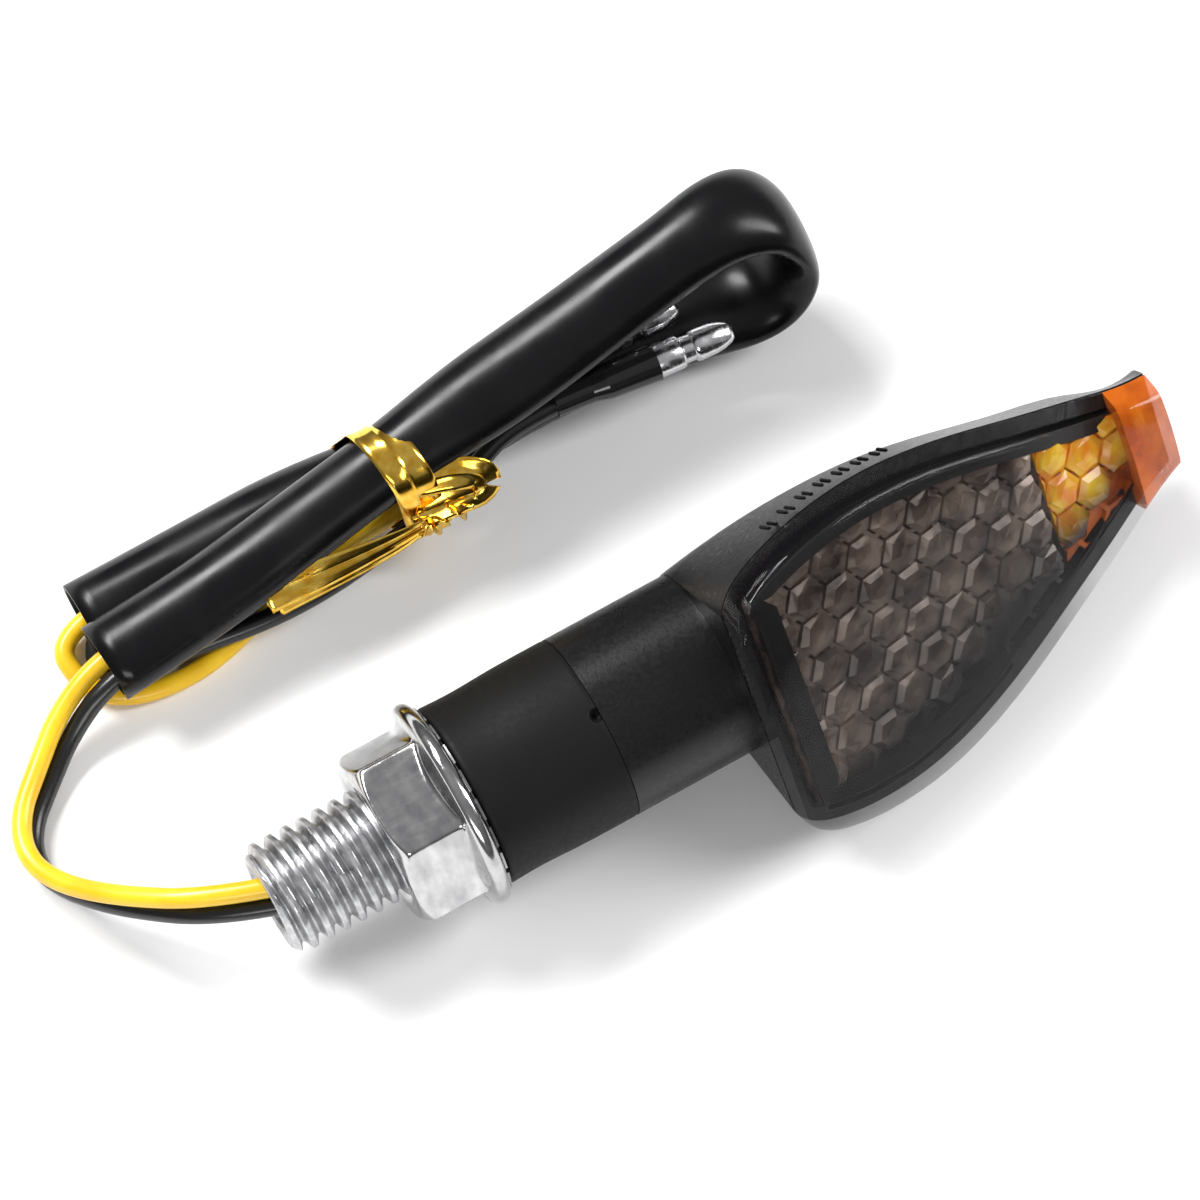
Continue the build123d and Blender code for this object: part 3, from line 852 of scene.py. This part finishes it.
def spaced(points, step):
    """Resample a chain of (point, side) stations with smooth in-between values."""
    out = []
    count = len(points)
    for i in range(count - 1):
        p0, s0 = points[max(i - 1, 0)]
        p1, s1 = points[i]
        p2, s2 = points[i + 1]
        p3, s3 = points[min(i + 2, count - 1)]
        parts = max(int((Vector(p2) - Vector(p1)).length / step), 1)
        for k in range(parts):
            t = k / parts
            w = [-0.5 * t + t * t - 0.5 * t ** 3, 1 - 2.5 * t * t + 1.5 * t ** 3,
                 0.5 * t + 2 * t * t - 1.5 * t ** 3, -0.5 * t * t + 0.5 * t ** 3]
            p = sum((Vector(q) * f for q, f in zip((p0, p1, p2, p3), w)), Vector())
            out.append((p, Vector(s1).lerp(Vector(s2), t)))
    out.append((Vector(points[-1][0]), Vector(points[-1][1])))
    return out


def hull_of(points):
    points = sorted(set(points))

    def half(run):
        chain = []
        for p in run:
            while len(chain) > 1:
                a, b = chain[-2], chain[-1]
                if (b[0] - a[0]) * (p[1] - a[1]) - (b[1] - a[1]) * (p[0] - a[0]) > 0:
                    break
                chain.pop()
            chain.append(p)
        return chain[:-1]

    return half(points) + half(points[::-1])


def make_tie():
    rounds = [(28.45, 1.3, 3.5, 2.95), (30.95, -6.15, 3.55, 3.05), (24.6, -4.9, 1.1, 1.1),
              (26.4, -5.2, 1.1, 1.1)]
    cloud = []
    for y, z, a, b in rounds:
        cloud += [(round(y + (a + 0.12) * math.cos(q / 10), 4), round(z + (b + 0.12) * math.sin(q / 10), 4))
                  for q in range(63)]
    ring = hull_of(cloud)
    lean = 0.9
    chain = []
    for i, (y, z) in enumerate(ring):
        y2, z2 = ring[(i + 1) % len(ring)]
        parts = max(int(math.hypot(y2 - y, z2 - z) / 0.35), 1)
        for k in range(parts):
            t = k / parts
            yy, zz = y + (y2 - y) * t, z + (z2 - z) * t
            chain.append(((TIE_X + TIE_WIDTH / 2 + lean * (28.5 - yy) / 6, yy, zz), (1, -0.12, 0.05)))
    band = ribbon("tie_wrap", chain, TIE_WIDTH, ridge=0.12, rough=0.04, loop=True)
    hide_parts("tie_band")
    bow = [((8.2, 26.4, 1.9), (-0.2, 0.75, 0.6)), ((10.6, 25.5, 1.9), (-0.2, 0.8, 0.55)),
           ((13.2, 24.7, 1.9), (-0.1, 0.85, 0.5)), ((15.3, 23.7, 1.3), (0.2, 0.5, 0.8)),
           ((15.0, 22.9, -0.2), (0.5, 0.3, 0.8)), ((12.8, 23.3, -0.4), (0.3, 0.6, 0.7)),
           ((10.6, 23.8, -1.0), (0.1, 0.8, 0.6)), ((8.6, 24.2, -1.5), (-0.2, 0.7, 0.7))]
    ribbon("tie_bow", spaced(bow, 0.4), 2.9, ridge=0.1, rough=0.03, seed=5)
    twist = []
    for k in range(46):
        u = k / 45
        angle = u * 4.6 * math.pi
        p = (8.8 + 5.6 * u, 23.1 - 0.25 * u + 0.3 * math.cos(angle), -2.2 + 1.3 * u + 0.3 * math.sin(angle))
        twist.append((p, (0.25, math.cos(angle), math.sin(angle))))
    knot = ribbon("tie_twist", twist, 1.9, rough=0.2, seed=8)
    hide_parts("tie_tails")
    tail = [((9.8, 23.2, -1.9), (0.0, 0.35, 0.95)), ((7.6, 23.15, -1.75), (0.1, 0.5, 0.86)),
            ((4.6, 23.2, -1.5), (0.12, 0.62, 0.78)), ((0.5, 23.45, -1.3), (0.15, 0.72, 0.68)),
            ((-5.3, 24.1, -1.4), (0.28, 0.74, 0.62))]
    ribbon("tie_tail_upper", spaced(tail, 0.5), 3.3, ridge=0.1, rough=0.02, seed=11, ragged=True, pinch=0.6)
    under = [((9.4, 22.9, -2.3), (0.0, 0.2, 0.98)), ((6.0, 22.7, -2.5), (0.05, 0.35, 0.93)),
             ((1.5, 22.9, -2.6), (0.05, 0.5, 0.86)), ((-4.6, 23.4, -2.9), (0.2, 0.6, 0.78))]
    ribbon("tie_tail_lower", spaced(under, 0.5), 2.2, ridge=0.08, rough=0.02, seed=13, ragged=True, pinch=0.6)


make_tie()


# ---------------------------------------------------------------- terminals
def make_terminal(name, at, direction, node):
    """Rolled bullet: thick barrel, stepped neck, tapering nose with a flattened end and a seam along it."""
    axis = Vector(direction).normalized()
    side = axis.cross(Vector((0, 0, 1))).normalized()
    top = side.cross(axis)
    profile = [(0.0, 0.95), (0.0, 1.42), (0.12, 1.5), (2.7, 1.5), (2.85, 1.42), (3.0, 1.2), (3.9, 1.18),
               (4.05, 1.36), (4.4, 1.42), (5.9, 1.36), (6.7, 1.2), (7.3, 0.98), (7.6, 0.8), (7.72, 0.45),
               (7.72, 0.25), (6.5, 0.25)]
    rings = []
    for x, r in profile:
        ring = []
        for k in range(48):
            angle = 2 * math.pi * k / 48
            seam = 0.13 * math.exp(-((angle - 5.2) / 0.09) ** 2) if r > 0.9 else 0.0
            flat = 1 - 0.14 * max(math.cos(2 * (angle - 1.2)), 0) * (max(x - 5.2, 0) / 2.5)
            dent = 1 + 0.02 * noise.noise(Vector((x * 0.8, math.cos(angle) * 1.5, math.sin(angle) * 1.5)))
            q = (r * flat * dent - seam)
            out = side * (q * math.cos(angle)) + top * (q * math.sin(angle))
            ring.append((Vector(at) + axis * x + out) / 1000)
        rings.append(ring)
    obj = grid_mesh(name, rings, closed_ends=True)
    sharpen(obj, 42)
    dress(obj, M["tin"])
    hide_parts(node)
    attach(obj, "root")
    return obj


make_lead("yellow_lead", YELLOW_OUT, YELLOW_BACK, LEAD_APART, "yellow_wire", M["yellow"],
          [make_terminal("yellow_terminal", *YELLOW_BULLET, "yellow_bullet"), nodes["yellow_bullet_boot"]])
make_lead("black_lead", BLACK_OUT, BLACK_BACK, -LEAD_APART, "black_wire", M["black"],
          [make_terminal("black_terminal", *BLACK_BULLET, "black_bullet"), nodes["black_bullet_boot"]])
